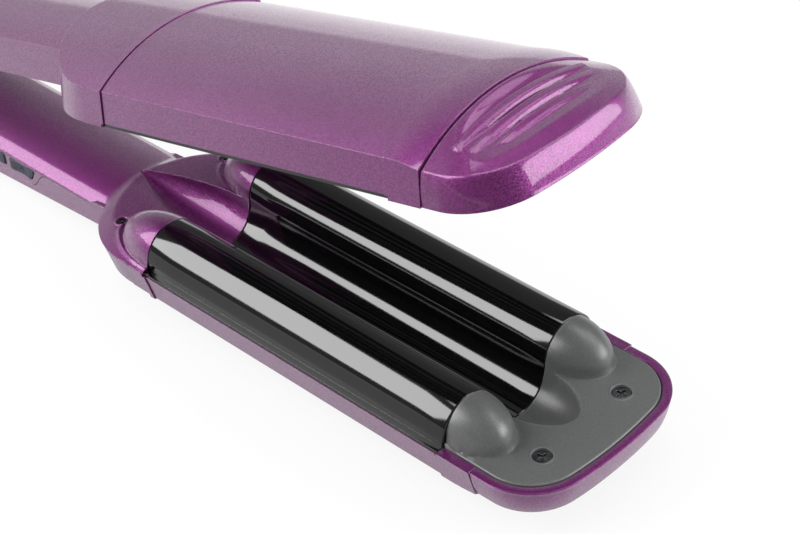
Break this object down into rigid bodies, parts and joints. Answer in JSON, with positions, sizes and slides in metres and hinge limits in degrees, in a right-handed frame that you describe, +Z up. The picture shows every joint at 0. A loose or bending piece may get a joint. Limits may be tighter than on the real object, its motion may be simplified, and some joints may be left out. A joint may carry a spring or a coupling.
{
  "type": "hair waver",
  "caption": "Sprung hair waver with meshing barrel and trough heated plates, moulded handles, buttons, end caps with thumb rests and a swivelling cord inlet.",
  "frame": {"origin": "centre of the bounding box in plan, on the plane that the lower arm's shoulder bead and handle rest on", "axes": "+X along the lower arm from the hinge to the tip, +Y across, away from the buttons, +Z up, from the lower arm to the upper"},
  "size_m": [0.3652, 0.0654, 0.1146],
  "materials": {
    "gloss_purple": "metallic gloss with fine flakes",
    "gloss_black_plate": "gloss ceramic coat",
    "matte_grey": "satin with fine grain",
    "steel": "satin",
    "aluminium": "extruded",
    "amber_film": "film wrap",
    "sensor_white": "glazed",
    "board_green": "solder mask",
    "button_grey": "satin",
    "lens": "clear",
    "gland_black": "satin"
  },
  "bodies": {
    "lower_arm": {"lower_shell": "gloss_purple", "lower_inner_cover": "gloss_purple", "lower_head_panel": "gloss_purple", "lower_end_cap": "gloss_purple", "lower_wave_plate": "gloss_black_plate", "lower_front_plate": "matte_grey", "lower_front_screws": "steel", "lower_rear_screws": "steel", "lower_heater_blocks": "aluminium", "lower_heater_elements": "amber_film", "lower_heater_clamps": "steel", "thermistor": "sensor_white", "thermal_fuse": "sensor_white", "circuit_board": "board_green", "switch_board": "board_green", "indicator_lens": "lens", "hinge_pin": "steel", "near_hinge_cap": "gloss_purple", "far_hinge_cap": "gloss_purple", "torsion_spring": "steel"},
    "upper_arm": {"upper_shell": "gloss_purple", "upper_inner_cover": "gloss_purple", "upper_head_panel": "gloss_purple", "upper_end_cap": "gloss_purple", "upper_wave_plate": "gloss_black_plate", "upper_front_plate": "matte_grey", "upper_front_screws": "steel", "upper_rear_screws": "steel", "upper_heater_block": "aluminium", "upper_heater_element": "amber_film", "upper_heater_clamp": "steel"},
    "power_button": {"power_button": "button_grey"},
    "minus_button": {"minus_button": "button_grey"},
    "plus_button": {"plus_button": "button_grey"},
    "cord_gland": {"cord_gland": "gland_black"}
  },
  "joints": [
    {"name": "arm_hinge", "type": "hinge", "parent": "lower_arm", "child": "upper_arm", "pos_m": [-0.1591, 0, 0.02025], "axis": [0, 1, 0], "range_deg": [0, 13.8], "stiffness_Nm_per_rad": 0.6, "springref_deg": -57.3},
    {"name": "power_button_press", "type": "slide", "parent": "lower_arm", "child": "power_button", "axis": [0, 1, 0], "range_m": [0, 0.0006], "stiffness_N_per_m": 1500, "springref_m": -0.0006},
    {"name": "minus_button_press", "type": "slide", "parent": "lower_arm", "child": "minus_button", "axis": [0, 1, 0], "range_m": [0, 0.0006], "stiffness_N_per_m": 1500, "springref_m": -0.0006},
    {"name": "plus_button_press", "type": "slide", "parent": "lower_arm", "child": "plus_button", "axis": [0, 1, 0], "range_m": [0, 0.0006], "stiffness_N_per_m": 1500, "springref_m": -0.0006},
    {"name": "gland_swivel", "type": "hinge", "parent": "lower_arm", "child": "cord_gland", "pos_m": [-0.1761, 0, 0.00825], "axis": [1, 0, 0], "continuous": true}
  ]
}
